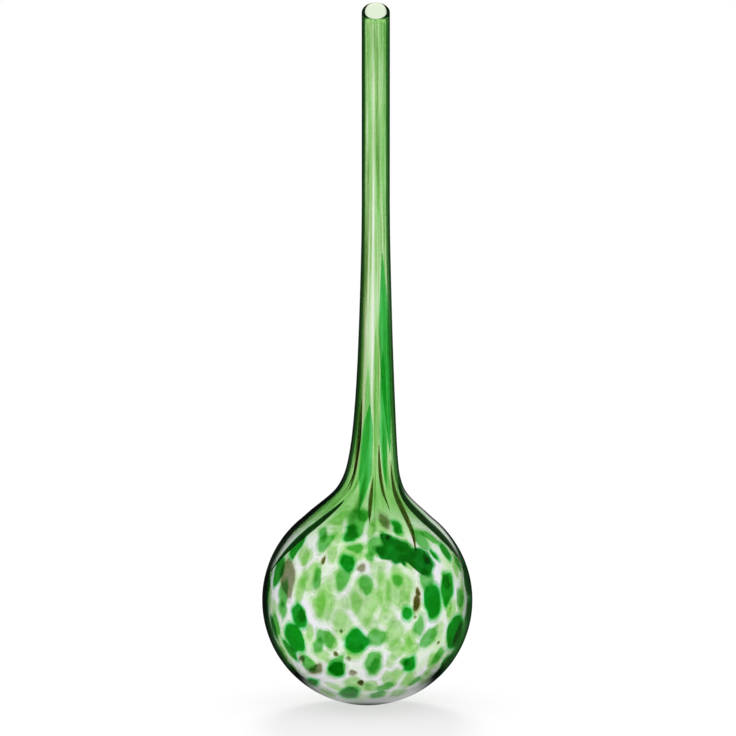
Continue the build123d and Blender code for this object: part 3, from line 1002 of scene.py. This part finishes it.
class GLOBE_OT_streaks(bpy.types.Operator):
    """Draws the coloured streaks out along the shoulder, the neck and the tube"""

    bl_idname = "globe.streaks"
    bl_label = "Draw the streaks"

    def execute(self, context):
        sizes = context.scene.globe_colour
        skin = Skin(context.scene.globe_vessel)
        materials = {}
        for node in STREAK_NODES:
            slot = SLOTS[node]
            full_depth = paleness(node) * sizes.streak_depth
            glass = (slot, full_depth)
            if glass not in materials:
                materials[glass] = coloured_glass(slot, full_depth, MOTTLE_PULL)
            mesh = bmesh.new()
            spread = BAND_SPREAD if node.endswith("_bands") else sizes.drawn_spread
            for points, edges in loose_parts(node):
                drawn_streak(mesh, points, edges, spread, skin, sizes)
            bmesh.ops.reverse_faces(mesh, faces=mesh.faces)
            piece = new_piece(node + "_in_skin", mesh, materials[glass])
            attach(piece, "root")
            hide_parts(node)
        return {"FINISHED"}


def straight_through(tree, path):
    """1 for what the camera sees direct or through glass without a mirror on the way, else 0."""
    seen = math_of(tree, "MAXIMUM", path["Is Camera Ray"], path["Is Transmission Ray"])
    unmirrored = math_of(tree, "LESS_THAN", path["Glossy Depth"], 0.5)
    return math_of(tree, "MULTIPLY", seen, unmirrored)


def mixed_shader(tree, share, first, second):
    """A shader that gives way to another as the share rises."""
    inputs = {"Fac": share, 1: first.outputs[0], 2: second.outputs[0]}
    return node_of(tree, "ShaderNodeMixShader", inputs)


def studio_world(studio):
    """White to the eye, through the glass and for the floor, and dim for what is mirrored."""
    world = bpy.data.worlds.new("studio")
    tree = emptied(world)
    sky = node_of(tree, "ShaderNodeTexCoord").outputs["Generated"]
    way = node_of(tree, "ShaderNodeSeparateXYZ", {0: sky}).outputs
    ahead = math_of(tree, "MULTIPLY_ADD", way["X"], LEAFY_LEAN, way["Y"])
    leafy = ramp_of(tree, ahead, LEAFY_TONES + [(LEAFY_END, studio.dim_tone)])
    window = patch_of(
        tree, (way["X"], WINDOW_ACROSS), (way["Z"], WINDOW_UP), (way["Y"], WINDOW_AHEAD),
    )
    tone = faded(tree, window, leafy, WINDOW_TONE)
    dim = node_of(tree, "ShaderNodeBackground", {"Color": tone})
    white = node_of(tree, "ShaderNodeBackground", {"Color": WHITE})
    path = node_of(tree, "ShaderNodeLightPath").outputs
    lit = math_of(tree, "MAXIMUM", straight_through(tree, path), path["Is Diffuse Ray"])
    shown = mixed_shader(tree, lit, dim, white)
    node_of(tree, "ShaderNodeOutputWorld", {"Surface": shown.outputs[0]})
    bpy.context.scene.world = world


def floor_material(studio):
    """Matt white board, lifted to white for the eye; the glass mirrors only what lies near it, as
    a painted glow with a painted shadow at the contact.
    """
    material = bpy.data.materials.new("studio_floor")
    tree = emptied(material)
    matt = node_of(tree, "ShaderNodeBsdfDiffuse", {"Color": BOARD_TONE})
    lift = node_of(tree, "ShaderNodeEmission", {"Color": WHITE, "Strength": BOARD_LIFT})
    lit = node_of(tree, "ShaderNodeAddShader", {0: matt.outputs[0], 1: lift.outputs[0]})
    place = node_of(tree, "ShaderNodeTexCoord").outputs["Object"]
    away = node_of(tree, "ShaderNodeVectorMath", {0: place}, operation="LENGTH").outputs["Value"]
    dusk = studio.dim_floor
    # Painted reflection of the floor: dim right at the contact as a painted shadow, paler a little
    # way out, dim again beyond
    near = ramp_of(tree, soft_step(tree, away, NEAR_FLOOR), [
        (NEAR_PLACES[0], dusk), *NEAR_TONES, (NEAR_PLACES[1], dusk),
    ])
    dim = node_of(tree, "ShaderNodeEmission", {"Color": near})
    clear = node_of(tree, "ShaderNodeBsdfTransparent")
    mirrored = mixed_shader(tree, soft_step(tree, away, FLOOR_END), dim, clear)
    path = node_of(tree, "ShaderNodeLightPath").outputs
    shown = mixed_shader(tree, straight_through(tree, path), mirrored, lit)
    node_of(tree, "ShaderNodeOutputMaterial", {"Surface": shown.outputs[0]})
    return material


class GLOBE_OT_studio(bpy.types.Operator):
    """Sets up the white floor, the soft light and the camera"""

    bl_idname = "globe.studio"
    bl_label = "Set up the studio"

    def execute(self, context):
        studio = context.scene.globe_studio
        scene = context.scene
        mesh = bmesh.new()
        bmesh.ops.create_grid(mesh, x_segments=1, y_segments=1, size=studio.floor_size)
        floor = new_piece("studio_floor", mesh, floor_material(studio), smooth=False)
        studio_world(studio)
        light = bpy.data.lights.new("back_light", "SUN")
        light.angle = studio.light_spread
        light.energy = studio.light_power
        stand = bpy.data.objects.new("back_light", light)
        stand.rotation_euler = (studio.light_height - math.pi / 2, 0, 0)
        stand.location = LIGHT_PLACE
        stand.visible_glossy = False
        stand.visible_transmission = False
        scene.collection.objects.link(stand)
        camera = bpy.data.cameras.new("camera")
        camera.sensor_width = SENSOR_WIDTH
        camera.lens = SENSOR_WIDTH * studio.view_distance / studio.frame_width
        camera.clip_end = CLIP_END
        eye = bpy.data.objects.new("camera", camera)
        level = studio.frame_up / math.cos(studio.view_height)
        target = Vector((studio.frame_across, 0, level))
        back = Vector((0, -math.cos(studio.view_height), math.sin(studio.view_height)))
        eye.location = target + back * studio.view_distance
        eye.rotation_euler = (math.pi / 2 - studio.view_height, 0, 0)
        scene.collection.objects.link(eye)
        scene.camera = eye
        scene.view_settings.view_transform = "Standard"
        for name, count in BOUNCES.items():
            setattr(scene.cycles, name, count)
        scene.cycles.use_denoising = True
        return {"FINISHED"}


class GLOBE_PT_panel(bpy.types.Panel):
    """Sizes and steps of the watering globe"""

    bl_idname = "GLOBE_PT_panel"
    bl_label = "Watering globe"
    bl_space_type = "VIEW_3D"
    bl_region_type = "UI"
    bl_category = "Globe"

    def draw(self, context):
        layout = self.layout
        scene = context.scene
        for group in (scene.globe_vessel, scene.globe_colour, scene.globe_studio):
            box = layout.box()
            for name in group.__annotations__:
                box.prop(group, name)
        for operator in OPERATORS:
            layout.operator(operator.bl_idname)


OPERATORS = [GLOBE_OT_vessel, GLOBE_OT_chips, GLOBE_OT_streaks, GLOBE_OT_studio]
CLASSES = [GlobeVessel, GlobeColour, GlobeStudio, *OPERATORS, GLOBE_PT_panel]


def register():
    for item in CLASSES:
        bpy.utils.register_class(item)
    bpy.types.Scene.globe_vessel = PointerProperty(type=GlobeVessel)
    bpy.types.Scene.globe_colour = PointerProperty(type=GlobeColour)
    bpy.types.Scene.globe_studio = PointerProperty(type=GlobeStudio)


def unregister():
    del bpy.types.Scene.globe_studio
    del bpy.types.Scene.globe_colour
    del bpy.types.Scene.globe_vessel
    for item in reversed(CLASSES):
        bpy.utils.unregister_class(item)


def main():
    register()
    bpy.ops.globe.vessel()
    bpy.ops.globe.chips()
    bpy.ops.globe.streaks()
    bpy.ops.globe.studio()


if __name__ == "__main__":
    main()
